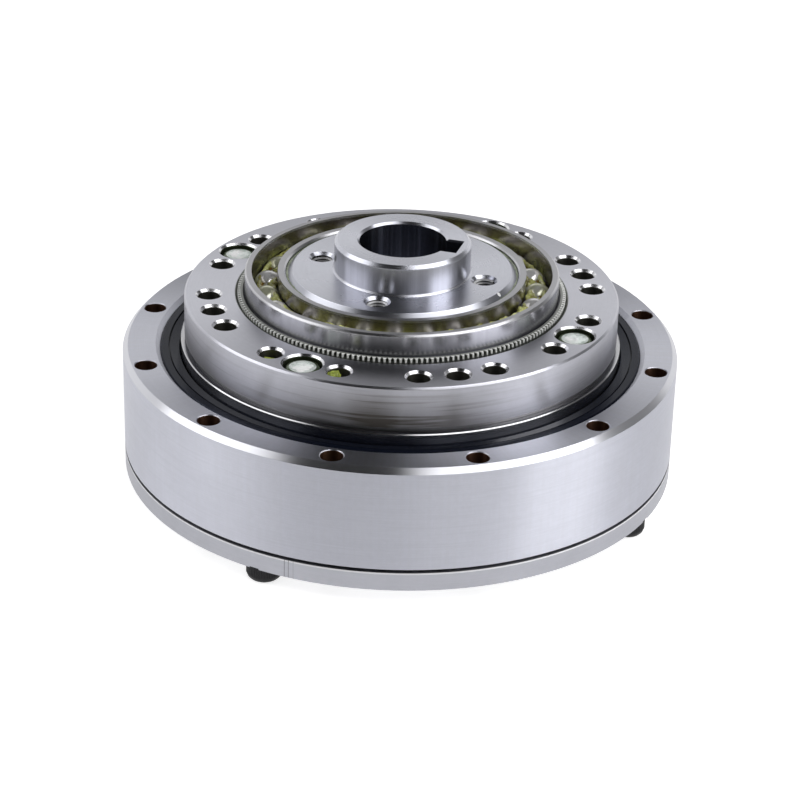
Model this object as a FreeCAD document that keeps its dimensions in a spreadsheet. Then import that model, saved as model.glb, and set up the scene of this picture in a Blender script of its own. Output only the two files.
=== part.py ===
import FreeCAD, Part
import math
import os
import re
import Sketcher

# Strain wave gearbox of the hat type with a cross-roller output bearing, in millimetres.
# The origin is on the axis at the underside of the brim, and +Z points to the wave generator's boss.

sizes = {
    # teeth of the flexspline and the circular spline
    "tooth_module": 0.26,
    "flex_teeth": 200,
    "teeth_difference": 2,
    "tooth_addendum": 0.22,
    "tooth_dedendum": 0.30,
    "tooth_backlash": 0.04,
    "flank_angle": 25,
    "tooth_width": 10.0,
    "tooth_rise": 0.4,
    "tooth_lead": 0.8,
    # flexspline hat
    "rim_wall": 0.6,
    "rim_lead": 0.3,
    "tube_wall": 0.55,
    "straight_tube": 4.0,
    "brim_height": 3.6,
    "brim_land": 7.4,
    "joint_relief_height": 0.6,
    "joint_relief_depth": 1.1,
    "diaphragm_wall": 0.8,
    "diaphragm_recess": 1.0,
    "diaphragm_fillet": 1.2,
    # circular spline
    "spline_inner_land": 4.44,
    "spline_outer_land": 4.0,
    "spline_height": 6.7,
    "spline_edge": 0.3,
    "spigot_depth": 3.1,
    "spigot_wall": 2.34,
    "spigot_gap": 0.05,
    "spline_groups": 8,
    "spline_hole": 3.5,
    "spline_hole_edge": 0.42,
    "spline_hole_step": 11.2,
    "counterbore": 6.0,
    "counterbore_depth": 3.6,
    "counterbore_edge": 0.35,
    # bearing rings
    "shoulder_step": 0.6,
    "shoulder_relief_height": 0.8,
    "shoulder_relief_depth": 1.2,
    "shoulder_edge": 0.15,
    "shoulder_rise": 1.8,
    "race_step": 0.5,
    "inner_ring_lift": 1.6,
    "inner_ring_lip": 0.7,
    "inner_ring_edge": 0.4,
    "tapped_hole": 2.5,
    "tapped_depth": 6.5,
    "bearing_gap": 1.0,
    "ring_height": 17.0,
    "ring_edge": 0.85,
    "seal_width": 3.4,
    "seal_pocket": 4.4,
    "seal_mouth_edge": 0.7,
    "ring_inner_land": 3.0,
    "ring_outer_land": 3.0,
    "ring_holes": 12,
    "ring_hole": 3.5,
    "ring_hole_edge": 0.15,
    # crossed rollers
    "roller": 3.2,
    "roller_length": 3.0,
    "roller_play": 0.06,
    "roller_height": 8.2,
    "roller_pairs": 24,
    "spacer": 2.7,
    "spacer_thickness": 1.2,
    "loading_hole": 4.6,
    "loading_angle": 75,
    "lock_pin": 1.5,
    "lock_pin_length": 5.0,
    "lock_pin_inset": 2.6,
    # oil seal and O-ring
    "seal_recess": 0.5,
    "seal_band": 1.35,
    "seal_groove": 0.25,
    "seal_groove_depth": 0.6,
    "seal_leg": 0.7,
    "seal_roof": 1.4,
    "seal_lip_gap": 0.07,
    "case_wall": 0.35,
    "garter_wire": 0.56,
    "o_ring": 0.86,
    "o_ring_groove": 1.1,
    "o_ring_inset": 1.7,
    # screws
    "screw": 3.0,
    "screw_head": 5.5,
    "screw_head_height": 3.0,
    "screw_socket": 2.5,
    "screw_socket_depth": 1.4,
    "screw_clearance": 3.15,
    "thread_gap": 0.05,
    "brim_screws": 4,
    "brim_screw_length": 8.0,
    "spot_face": 6.2,
    "spot_face_depth": 0.2,
    "spline_screw_length": 8.0,
    # wave bearing
    "race_fit": 0.05,
    "outer_race_wall": 1.1,
    "outer_race_groove": 0.45,
    "inner_race_groove": 0.45,
    "inner_race_wall": 0.78,
    "race_edge": 0.3,
    "ball": 4.8,
    "ball_play": 0.15,
    "balls": 23,
    "bearing_width": 9.0,
    "bearing_rise": 3.9,
    "cage_gap": 0.95,
    "cage_floor": 3.8,
    "cage_horn": 1.3,
    "cage_play": 0.1,
    "cage_notch": 1.7,
    # wave plug
    "press_gap": 0.02,
    "plug_rise": 0.2,
    "plug_edge": 1.1,
    "plug_shoulder": 0.6,
    "plug_shoulder_height": 1.2,
    "boss": 21.9,
    "boss_height": 5.1,
    "boss_edge": 0.5,
    "boss_fillet": 0.3,
    "bore": 14.0,
    "bore_edge": 0.35,
    "key_width": 5.0,
    "key_depth": 2.5,
    "plug_holes": 4,
    "plug_hole": 3.3,
    "plug_hole_edge": 0.5,
    "plug_hole_circle": 27.2,
    "hub_turn": -32.8,
}

# Radii and heights that follow from the sizes, from the teeth outwards and from the brim upwards.
derived = {
    "wave": "tooth_module * teeth_difference / 2",
    "flex_pitch_r": "tooth_module * flex_teeth / 2",
    "flex_root_r": "flex_pitch_r - tooth_dedendum",
    "flex_bore_r": "flex_root_r - rim_wall",
    "spline_teeth": "flex_teeth + teeth_difference",
    "spline_pitch_r": "tooth_module * spline_teeth / 2",
    "spline_tip_r": "spline_pitch_r - tooth_addendum",
    "spline_root_r": "spline_pitch_r + tooth_dedendum",
    "spigot_r": "spline_root_r + spigot_wall",
    "spline_hole_r": "spline_root_r + spline_inner_land",
    "spline_r": "spline_hole_r + spline_outer_land",
    "shoulder_r": "spline_r + shoulder_step",
    "inner_race_r": "shoulder_r + race_step",
    "outer_race_r": "inner_race_r + bearing_gap",
    "roller_circle_r": "inner_race_r + bearing_gap / 2",
    "groove_half": "roller / 2 + roller_play",
    "groove_depth": "groove_half * sqrt(2)",
    "seal_seat_r": "shoulder_r + seal_width",
    "ring_hole_r": "seal_seat_r + ring_inner_land",
    "ring_r": "ring_hole_r + ring_outer_land",
    "brim_inner_r": "ring_r - brim_land",
    "ring_top": "brim_height + ring_height",
    "roller_z": "brim_height + roller_height",
    "seal_floor": "ring_top - seal_pocket",
    "seal_top": "ring_top - seal_recess",
    "spline_floor": "ring_top + shoulder_rise",
    "spline_top": "spline_floor + spline_height",
    "tooth_top": "spline_top + tooth_rise",
    "tooth_floor": "tooth_top - tooth_width",
    "inner_ring_floor": "brim_height + inner_ring_lift",
    "inner_ring_bore_r": "spigot_r + spigot_gap",
    "lower_bore_r": "inner_ring_bore_r - inner_ring_lip",
    "spigot_seat": "spline_floor - spigot_depth - spigot_gap",
    "diaphragm_top": "diaphragm_recess + diaphragm_wall",
    "tube_r": "flex_bore_r + tube_wall",
    "tube_top": "diaphragm_top + straight_tube",
    "outer_race_out_r": "flex_bore_r - race_fit",
    "outer_race_in_r": "outer_race_out_r - outer_race_wall",
    "ball_circle_r": "outer_race_in_r + outer_race_groove - ball_play - ball / 2",
    "raceway_r": "ball / 2 + ball_play",
    "inner_race_out_r": "ball_circle_r - raceway_r + inner_race_groove",
    "inner_race_in_r": "ball_circle_r - raceway_r - inner_race_wall",
    "plug_r": "inner_race_in_r - press_gap",
    "race_top": "spline_top + bearing_rise",
    "race_floor": "race_top - bearing_width",
    "ball_z": "race_top - bearing_width / 2",
    "plug_top": "race_top + plug_rise",
    "plug_floor": "race_floor - plug_shoulder_height",
    "boss_top": "plug_top + boss_height",
    "screw_seat": "spline_top - counterbore_depth",
    "o_ring_r": "outer_race_r + o_ring_inset",
}

doc = FreeCAD.newDocument("strain_wave_gearbox")
sheet = doc.addObject("Spreadsheet::Sheet", "sizes")
for row, (alias, number) in enumerate(sizes.items(), start=1):
    sheet.set(f"A{row}", alias)
    sheet.set(f"B{row}", str(number))
    sheet.setAlias(f"B{row}", alias)
doc.recompute()


def formula(text):
    """Write a formula out in the sheet's own cells."""

    def cell(match):
        word = match.group(0)
        if word in derived:
            return "(" + formula(derived[word]) + ")"
        if word in sizes:
            return "sizes." + word
        return word

    return re.sub(r"[a-z_]+", cell, str(text))


def value(text):
    """Work a formula out with the sheet's present numbers."""
    return float(sheet.evalExpression(formula(text)))


def bind(thing, name, text):
    thing.setExpression(name, formula(text))


def new_body(label):
    body = doc.addObject("PartDesign::Body", label)
    body.Label = label
    return body


def origin_of(body, role):
    return next(item for item in body.Origin.OriginFeatures if item.Role == role)


def new_sketch(body, name, plane="XY_Plane", height=0):
    sketch = body.newObject("Sketcher::SketchObject", name)
    sketch.AttachmentSupport = [(origin_of(body, plane), "")]
    sketch.MapMode = "FlatFace"
    bind(sketch, "AttachmentOffset.Base.z", height)
    return sketch


def hold_point(sketch, curve, point, place):
    """Hold one point of a curve at its distance from the origin along X and Y."""
    for kind, text in zip(("DistanceX", "DistanceY"), place):
        rule = Sketcher.Constraint(kind, -1, 1, curve, point, value(text))
        number = sketch.addConstraint(rule)
        bind(sketch, f"Constraints[{number}]", text)


def draw_outline(sketch, corners):
    """Draw a closed outline of straight lines, each corner held by its own two formulas."""
    places = [FreeCAD.Vector(value(x), value(y), 0) for x, y in corners]
    first = sketch.GeometryCount
    count = len(places)
    for number, start in enumerate(places):
        sketch.addGeometry(Part.LineSegment(start, places[(number + 1) % count]), False)
    for number, corner in enumerate(corners):
        following = first + (number + 1) % count
        sketch.addConstraint(Sketcher.Constraint("Coincident", first + number, 2, following, 1))
        hold_point(sketch, first + number, 1, corner)


def draw_circle(sketch, radius, place):
    centre = FreeCAD.Vector(value(place[0]), value(place[1]), 0)
    curve = sketch.addGeometry(Part.Circle(centre, FreeCAD.Vector(0, 0, 1), value(radius)), False)
    hold_point(sketch, curve, 3, place)
    number = sketch.addConstraint(Sketcher.Constraint("Radius", curve, value(radius)))
    bind(sketch, f"Constraints[{number}]", radius)


def polar(radius, angle):
    """Give the place on a circle at an angle in degrees as two formulas."""
    return f"({radius}) * cos(({angle}) * 1 deg)", f"({radius}) * sin(({angle}) * 1 deg)"


def revolve(body, name, corners, kind="PartDesign::Revolution"):
    sketch = new_sketch(body, name + "_profile", "XZ_Plane")
    draw_outline(sketch, corners)
    turned = body.newObject(kind, name)
    turned.Profile = sketch
    turned.ReferenceAxis = (sketch, ["V_Axis"])
    turned.Angle = 360
    return turned


def extrude(body, name, sketch, length, kind="PartDesign::Pad", flip=False):
    feature = body.newObject(kind, name)
    feature.Profile = sketch
    feature.Reversed = flip
    bind(feature, "Length", length)
    return feature


def drill(body, name, radius, places, height, depth, edge=None, upwards=False):
    """Cut round holes from a height, down or upwards, with an edge chamfer where one is given."""
    sketch = new_sketch(body, name + "_circles", height=height)
    for place in places:
        draw_circle(sketch, radius, place)
    cuts = [extrude(body, name, sketch, depth, "PartDesign::Pocket", upwards)]
    if edge:
        sketch = new_sketch(body, name + "_edge_circles", height=height)
        for place in places:
            draw_circle(sketch, f"{radius} + {edge}", place)
        chamfer = extrude(body, name + "_edge", sketch, edge, "PartDesign::Pocket", upwards)
        chamfer.TaperAngle = -45
        cuts.append(chamfer)
    return cuts


def repeat(body, name, features, count):
    pattern = body.newObject("PartDesign::PolarPattern", name)
    pattern.Originals = features
    pattern.Axis = (origin_of(body, "Z_Axis"), [""])
    pattern.Angle = 360
    bind(pattern, "Occurrences", count)
    body.Tip = pattern
    return pattern


def socket_corners(place, across):
    """Corners of a hexagon socket around a place."""
    corners = []
    for side in range(6):
        step_x, step_y = polar(f"{across} / sqrt(3)", f"60 * {side}")
        corners.append((f"{place[0]} + {step_x}", f"{place[1]} + {step_y}"))
    return corners


def cap_screws(label, circle, angle, seat, length, points_up):
    """Make a ring of cap screws whose heads rest on a seat and whose shanks point up or down."""
    body = new_body(label)
    place = polar(circle, angle)
    side = "-" if points_up else "+"
    head_end = f"{seat} {side} screw_head_height"
    head = new_sketch(body, label + "_head_circle", height=seat)
    draw_circle(head, "screw_head / 2", place)
    shank = new_sketch(body, label + "_shank_circle", height=seat)
    draw_circle(shank, "screw / 2", place)
    socket = new_sketch(body, label + "_socket_hexagon", height=head_end)
    draw_outline(socket, socket_corners(place, "screw_socket"))
    made = [
        extrude(body, label + "_head", head, "screw_head_height", flip=points_up),
        extrude(body, label + "_shank", shank, length, flip=not points_up),
        extrude(body, label + "_socket", socket, "screw_socket_depth", "PartDesign::Pocket", points_up),
    ]
    repeat(body, label + "_ring", made, "brim_screws")
    return body


def spline_hole_places(angles):
    return [polar("spline_hole_r", angle) for angle in angles]


outer_angles = ["spline_hole_step", "-spline_hole_step"]
screw_angle = "360 / spline_groups"


# Wave-shaped outlines: an ellipse and the teeth that ride on it.
def ellipse_wire(radius, height):
    """An elliptical wire whose long axis lies along X."""
    mean = value(radius)
    wave = value("wave")
    curve = Part.Ellipse(FreeCAD.Vector(0, 0, value(height)), mean + wave, mean - wave)
    return Part.Wire([curve.toShape()])


def ellipse_solid(radius, floor, top):
    face = Part.Face(ellipse_wire(radius, floor))
    return face.extrude(FreeCAD.Vector(0, 0, value(top) - value(floor)))


def wave_loft(radius, floor, edge_radius, top):
    """A solid between two elliptical wires of different radius."""
    return Part.makeLoft([ellipse_wire(radius, floor), ellipse_wire(edge_radius, top)], True, True)


def flex_tooth_wire(height):
    """The toothed outline of the flexspline, each tooth moved and tilted with the wave."""
    teeth = int(value("flex_teeth"))
    pitch_r = value("flex_pitch_r")
    wave = value("wave")
    slope = math.tan(math.radians(value("flank_angle")))
    half = math.pi * value("tooth_module") / 4 - value("tooth_backlash") / 4
    tip = value("tooth_addendum")
    root = value("tooth_dedendum")
    sides = [(-root, -half - root * slope), (tip, -half + tip * slope), (tip, half - tip * slope),
             (-root, half + root * slope)]
    points = []
    for tooth in range(teeth):
        turn = 2 * math.pi * tooth / teeth
        centre_r = pitch_r + wave * math.cos(2 * turn)
        centre_turn = turn - wave / 2 * math.sin(2 * turn) / pitch_r
        tilt = centre_turn + 1.5 * wave * math.sin(2 * turn) / pitch_r
        for out, across in sides:
            x = centre_r * math.cos(centre_turn) + out * math.cos(tilt) - across * math.sin(tilt)
            y = centre_r * math.sin(centre_turn) + out * math.sin(tilt) + across * math.cos(tilt)
            points.append(FreeCAD.Vector(x, y, value(height)))
    return Part.makePolygon(points + points[:1])


def make_flexspline():
    hat = new_body("flexspline_hat")
    revolve(hat, "hat", [
        ("brim_inner_r", "0"),
        ("ring_r", "0"),
        ("ring_r", "brim_height - joint_relief_height"),
        ("ring_r - joint_relief_depth", "brim_height - joint_relief_height"),
        ("ring_r - joint_relief_depth", "brim_height"),
        ("brim_inner_r", "brim_height"),
        ("brim_inner_r", "diaphragm_top"),
        ("tube_r + diaphragm_fillet", "diaphragm_top"),
        ("tube_r", "diaphragm_top + diaphragm_fillet"),
        ("tube_r", "tube_top"),
        ("flex_bore_r", "tube_top"),
        ("flex_bore_r", "diaphragm_recess + diaphragm_fillet"),
        ("flex_bore_r + diaphragm_fillet", "diaphragm_recess"),
        ("brim_inner_r", "diaphragm_recess"),
    ])
    holes = drill(hat, "brim_holes", "ring_hole / 2", [polar("ring_hole_r", "0")], "brim_height", "brim_height")
    repeat(hat, "brim_hole_ring", holes, "ring_holes")
    place = [polar("ring_hole_r", screw_angle)]
    seats = drill(hat, "screw_holes", "screw_clearance / 2", place, "brim_height", "brim_height")
    seats += drill(hat, "spot_faces", "spot_face / 2", place, "0", "spot_face_depth", upwards=True)
    repeat(hat, "screw_hole_ring", seats, "brim_screws")
    crown = doc.addObject("Part::Feature", "flexspline_crown")
    height = value("tooth_width")
    outside = Part.Face(flex_tooth_wire("tooth_floor")).extrude(FreeCAD.Vector(0, 0, height))
    inside = ellipse_solid("flex_bore_r", "tooth_floor", "tooth_top")
    lead = wave_loft("flex_bore_r", "tooth_top - rim_lead", "flex_bore_r + rim_lead", "tooth_top")
    crown.Shape = outside.cut([inside, lead])
    tube = doc.addObject("Part::Feature", "flexspline_tube")
    circles = []
    for radius in ("tube_r", "flex_bore_r"):
        circle = Part.makeCircle(value(radius), FreeCAD.Vector(0, 0, value("tube_top")))
        circles.append(Part.makeLoft([Part.Wire([circle]), ellipse_wire(radius, "tooth_floor")], True, True))
    tube.Shape = circles[0].cut(circles[1])
    whole = doc.addObject("Part::MultiFuse", "flexspline")
    whole.Shapes = [hat, tube, crown]
    return whole


def make_circular_spline():
    body = new_body("circular_spline")
    revolve(body, "flange", [
        ("spline_tip_r", "spline_floor - spigot_depth"),
        ("spigot_r", "spline_floor - spigot_depth"),
        ("spigot_r", "spline_floor"),
        ("spline_r", "spline_floor"),
        ("spline_r", "spline_top - spline_edge"),
        ("spline_r - spline_edge", "spline_top"),
        ("spline_tip_r + tooth_lead", "spline_top"),
        ("spline_tip_r", "spline_top - tooth_lead"),
    ])
    small = drill(body, "small_holes", "spline_hole / 2", spline_hole_places(outer_angles), "spline_top",
                  "spline_height", "spline_hole_edge")
    repeat(body, "small_hole_ring", small, "spline_groups")
    middle = drill(body, "middle_holes", "spline_hole / 2", spline_hole_places(["0"]), "spline_top",
                   "spline_height", "spline_hole_edge")
    repeat(body, "middle_hole_ring", middle, "spline_groups / 2")
    places = spline_hole_places([screw_angle])
    large = drill(body, "screw_holes", "screw_clearance / 2", places, "spline_top", "spline_height")
    large += drill(body, "counterbores", "counterbore / 2", places, "spline_top", "counterbore_depth",
                   "counterbore_edge")
    repeat(body, "counterbore_ring", large, "spline_groups / 2")
    mouth = "(pi * tooth_module / 4 + tooth_backlash / 4)"
    slope = "tan(flank_angle * 1 deg)"
    space = new_sketch(body, "tooth_space", height="spline_top")
    draw_outline(space, [
        ("spline_tip_r - tooth_addendum", f"{mouth} + 2 * tooth_addendum * {slope}"),
        ("spline_root_r", f"{mouth} - tooth_dedendum * {slope}"),
        ("spline_root_r", f"tooth_dedendum * {slope} - {mouth}"),
        ("spline_tip_r - tooth_addendum", f"-{mouth} - 2 * tooth_addendum * {slope}"),
    ])
    cut = extrude(body, "tooth_cut", space, "spline_height + spigot_depth", "PartDesign::Pocket")
    repeat(body, "teeth", [cut], "spline_teeth")
    return body


def make_bearing_inner_ring():
    body = new_body("bearing_inner_ring")
    relief_r = "shoulder_r - shoulder_relief_depth"
    relief_z = "spline_floor - shoulder_relief_height"
    revolve(body, "ring", [
        ("lower_bore_r", "inner_ring_floor + inner_ring_edge"),
        ("lower_bore_r + inner_ring_edge", "inner_ring_floor"),
        ("inner_race_r - inner_ring_edge", "inner_ring_floor"),
        ("inner_race_r", "inner_ring_floor + inner_ring_edge"),
        ("inner_race_r", "roller_z - groove_depth + bearing_gap / 2"),
        ("roller_circle_r - groove_depth", "roller_z"),
        ("inner_race_r", "roller_z + groove_depth - bearing_gap / 2"),
        ("inner_race_r", "seal_floor - bearing_gap"),
        ("shoulder_r", "seal_floor - bearing_gap + race_step"),
        ("shoulder_r", f"{relief_z} - shoulder_edge"),
        ("shoulder_r - shoulder_edge", relief_z),
        (relief_r, relief_z),
        (relief_r, "spline_floor"),
        ("inner_ring_bore_r", "spline_floor"),
        ("inner_ring_bore_r", "spigot_seat"),
        ("lower_bore_r", "spigot_seat"),
    ])
    small = drill(body, "tapped_holes", "tapped_hole / 2", spline_hole_places(outer_angles), "spline_floor",
                  "tapped_depth")
    repeat(body, "tapped_hole_ring", small, "spline_groups")
    middle = drill(body, "middle_tapped", "tapped_hole / 2", spline_hole_places(["0"]), "spline_floor",
                   "tapped_depth")
    repeat(body, "middle_tapped_ring", middle, "spline_groups / 2")
    threads = drill(body, "screw_threads", "screw / 2 + thread_gap", spline_hole_places([screw_angle]),
                    "spline_floor", "spline_screw_length - spline_height + counterbore_depth + screw / 2")
    repeat(body, "screw_thread_ring", threads, "spline_groups / 2")
    return body


# The outer ring's profile, from the seal pocket down the bore and up the outside.
outer_ring_outline = [
    ("outer_race_r", "seal_floor"),
    ("outer_race_r", "roller_z + groove_depth - bearing_gap / 2"),
    ("roller_circle_r + groove_depth", "roller_z"),
    ("outer_race_r", "roller_z - groove_depth + bearing_gap / 2"),
    ("outer_race_r", "brim_height"),
    ("o_ring_r - o_ring_groove / 2", "brim_height"),
    ("o_ring_r - o_ring_groove / 2", "brim_height + o_ring"),
    ("o_ring_r + o_ring_groove / 2", "brim_height + o_ring"),
    ("o_ring_r + o_ring_groove / 2", "brim_height"),
    ("ring_r", "brim_height"),
    ("ring_r", "ring_top - ring_edge"),
    ("ring_r - ring_edge", "ring_top"),
    ("seal_seat_r + seal_mouth_edge", "ring_top"),
    ("seal_seat_r", "ring_top - seal_mouth_edge"),
    ("seal_seat_r", "seal_floor"),
]


def radial_rod(name, radius, inner, outer, angle, height):
    """A round rod that points away from the axis."""
    rod = doc.addObject("Part::Cylinder", name)
    bind(rod, "Radius", radius)
    bind(rod, "Height", f"{outer} - ({inner})")
    point_outwards(rod, inner, angle, height)
    return rod


def point_outwards(rod, inner, angle, height):
    """Lay a rod down so that it starts at a radius and points away from the axis at an angle."""
    turn = math.radians(value(angle))
    across = FreeCAD.Vector(-math.sin(turn), math.cos(turn), 0)
    rod.Placement = FreeCAD.Placement(FreeCAD.Vector(), FreeCAD.Rotation(across, 90))
    x, y = polar(inner, angle)
    bind(rod, "Placement.Base.x", x)
    bind(rod, "Placement.Base.y", y)
    bind(rod, "Placement.Base.z", height)
    bind(rod, "Placement.Rotation.Axis.x", f"-1 * sin(({angle}) * 1 deg)")
    bind(rod, "Placement.Rotation.Axis.y", f"cos(({angle}) * 1 deg)")


def upright_rod(name, radius, place, floor, height):
    rod = doc.addObject("Part::Cylinder", name)
    bind(rod, "Radius", radius)
    bind(rod, "Height", height)
    bind(rod, "Placement.Base.x", place[0])
    bind(rod, "Placement.Base.y", place[1])
    bind(rod, "Placement.Base.z", floor)
    return rod


def boolean(kind, label, base, tool):
    result = doc.addObject(kind, label)
    result.Base = base
    result.Tool = tool
    return result


def make_bearing_outer_ring():
    """The outer ring with its roller-loading plug and the pin that locks the plug."""
    body = new_body("bearing_outer_ring_turned")
    revolve(body, "ring", outer_ring_outline)
    holes = drill(body, "ring_holes", "ring_hole / 2", [polar("ring_hole_r", "0")], "ring_top", "ring_height",
                  "ring_hole_edge")
    repeat(body, "ring_hole_pattern", holes, "ring_holes")
    threads = drill(body, "screw_threads", "screw / 2 + thread_gap", [polar("ring_hole_r", screw_angle)],
                    "brim_height", "brim_screw_length - brim_height + screw", upwards=True)
    repeat(body, "screw_thread_pattern", threads, "brim_screws")
    core = new_body("loading_core")
    revolve(core, "ring_core", outer_ring_outline)
    pin_place = polar("ring_r - lock_pin_inset", "loading_angle")
    plug_rod = radial_rod("loading_rod", "loading_hole / 2 - press_gap", "roller_circle_r - groove_depth",
                          "ring_r + ring_edge", "loading_angle", "roller_z")
    hole_rod = radial_rod("loading_hole_rod", "loading_hole / 2", "roller_circle_r - groove_depth",
                          "ring_r + ring_edge", "loading_angle", "roller_z")
    pin_floor = "roller_z - lock_pin_length"
    pin_hole = upright_rod("pin_hole_rod", "lock_pin / 2 + press_gap", pin_place, "brim_height",
                           f"{pin_floor} + lock_pin_length + press_gap - brim_height")
    drilled = boolean("Part::Cut", "bearing_outer_ring_drilled", body, hole_rod)
    ring = boolean("Part::Cut", "bearing_outer_ring", drilled, pin_hole)
    plug_blank = boolean("Part::Common", "loading_plug_blank", plug_rod, core)
    plug = boolean("Part::Cut", "roller_loading_plug", plug_blank, pin_hole)
    pin = upright_rod("loading_plug_pin", "lock_pin / 2", pin_place, pin_floor, "lock_pin_length")
    return ring, plug, pin


def make_rollers(label, tilt, start):
    """Half of the crossed rollers, all leaning the same way."""
    body = new_body(label)
    roller = body.newObject("PartDesign::AdditiveCylinder", label + "_first")
    bind(roller, "Radius", "roller / 2")
    bind(roller, "Height", "roller_length")
    lean = FreeCAD.Rotation(FreeCAD.Vector(0, 1, 0), tilt)
    spin = FreeCAD.Rotation(FreeCAD.Vector(0, 0, 1), start * 360 / value("roller_pairs * 2"))
    roller.Placement = FreeCAD.Placement(FreeCAD.Vector(), spin.multiply(lean))
    base_r = f"roller_circle_r - roller_length / 2 * sin({tilt} * 1 deg)"
    x, y = polar(base_r, f"{start} * 180 / roller_pairs")
    bind(roller, "Placement.Base.x", x)
    bind(roller, "Placement.Base.y", y)
    bind(roller, "Placement.Base.z", f"roller_z - roller_length / 2 * cos({tilt} * 1 deg)")
    bind(roller, "Placement.Rotation.Yaw", f"{start} * 180 / roller_pairs * 1 deg")
    repeat(body, label + "_ring", [roller], "roller_pairs")
    return body


def make_roller_spacers():
    body = new_body("roller_spacers")
    disc = body.newObject("PartDesign::AdditiveCylinder", "roller_spacers_first")
    bind(disc, "Radius", "spacer / 2")
    bind(disc, "Height", "spacer_thickness")
    turn = "90 / roller_pairs"
    disc.Placement = FreeCAD.Placement(FreeCAD.Vector(), FreeCAD.Rotation(value(turn), 0, 90))
    x, y = polar("roller_circle_r", turn)
    bind(disc, "Placement.Base.x", f"{x} + spacer_thickness / 2 * sin({turn} * 1 deg) * -1")
    bind(disc, "Placement.Base.y", f"{y} + spacer_thickness / 2 * cos({turn} * 1 deg)")
    bind(disc, "Placement.Base.z", "roller_z")
    bind(disc, "Placement.Rotation.Yaw", f"{turn} * 1 deg")
    repeat(body, "roller_spacers_ring", [disc], "roller_pairs * 2")
    return body


def make_oil_seal():
    """The rubber seal, the steel case along its inside, its spring, and the O-ring under the ring."""
    seal = new_body("oil_seal")
    out_r = "seal_seat_r - press_gap"
    lip_r = "shoulder_r + seal_lip_gap"
    groove_r = f"{out_r} - seal_band"
    back_r = "shoulder_r + seal_width / 3"
    roof = "seal_top - seal_roof"
    revolve(seal, "seal", [
        (out_r, "seal_floor"),
        (out_r, "seal_top - seal_groove"),
        (f"{out_r} - seal_groove", "seal_top"),
        (groove_r, "seal_top"),
        (groove_r, "seal_top - seal_groove_depth"),
        (f"{groove_r} - seal_groove", "seal_top - seal_groove_depth"),
        (f"{groove_r} - seal_groove", "seal_top - seal_lip_gap"),
        (f"{lip_r} + seal_groove", "seal_top - seal_groove_depth / 2"),
        (lip_r, "seal_top - seal_groove_depth"),
        (f"{lip_r} + seal_groove", "seal_top - seal_roof"),
        (lip_r, "seal_top - seal_roof * 1.6"),
        (f"{lip_r} + seal_groove * 2", "seal_top - seal_roof * 2.2"),
        (back_r, "seal_top - seal_roof * 2.2"),
        (back_r, roof),
        (f"{out_r} - seal_leg", roof),
        (f"{out_r} - seal_leg", "seal_floor"),
    ])
    case = new_body("seal_case")
    revolve(case, "case", [
        (f"{out_r} - seal_leg", "seal_floor"),
        (f"{out_r} - seal_leg", roof),
        (back_r, roof),
        (back_r, f"{roof} - case_wall"),
        (f"{out_r} - seal_leg - case_wall", f"{roof} - case_wall"),
        (f"{out_r} - seal_leg - case_wall", "seal_floor"),
    ])
    spring = doc.addObject("Part::Torus", "seal_garter_spring")
    bind(spring, "Radius1", f"{back_r} + garter_wire / 2 + press_gap")
    bind(spring, "Radius2", "garter_wire / 2")
    bind(spring, "Placement.Base.z", "seal_top - seal_roof * 1.8")
    cord = doc.addObject("Part::Torus", "brim_o_ring")
    bind(cord, "Radius1", "o_ring_r")
    bind(cord, "Radius2", "o_ring / 2 - press_gap")
    bind(cord, "Placement.Base.z", "brim_height + o_ring / 2")
    return seal, case, spring, cord


def raceway(name):
    ring = doc.addObject("Part::Torus", name)
    bind(ring, "Radius1", "ball_circle_r")
    bind(ring, "Radius2", "raceway_r")
    bind(ring, "Placement.Base.z", "ball_z")
    return ring


def make_races():
    """The two thin races of the wave bearing, both bent to the wave's ellipse."""
    inner = doc.addObject("Part::Feature", "inner_race_blank")
    blank = ellipse_solid("inner_race_out_r", "race_floor", "race_top")
    hole = ellipse_solid("inner_race_in_r", "race_floor", "race_top")
    lead = wave_loft("inner_race_in_r", "race_top - race_edge", "inner_race_in_r + race_edge", "race_top")
    inner.Shape = blank.cut([hole, lead])
    outer = doc.addObject("Part::Feature", "outer_race_blank")
    lower = ellipse_solid("outer_race_out_r", "race_floor", "race_top - race_edge")
    upper = wave_loft("outer_race_out_r", "race_top - race_edge", "outer_race_out_r - race_edge", "race_top")
    hole = ellipse_solid("outer_race_in_r", "race_floor", "race_top")
    outer.Shape = lower.fuse(upper).cut(hole)
    return (boolean("Part::Cut", "wave_bearing_inner_race", inner, raceway("inner_raceway")),
            boolean("Part::Cut", "wave_bearing_outer_race", outer, raceway("outer_raceway")))


def make_bearing_balls():
    body = new_body("bearing_balls")
    ball = body.newObject("PartDesign::AdditiveSphere", "first_ball")
    bind(ball, "Radius", "ball / 2")
    bind(ball, "Placement.Base.x", "ball_circle_r")
    bind(ball, "Placement.Base.z", "ball_z")
    repeat(body, "ball_ring", [ball], "balls")
    return body


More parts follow.
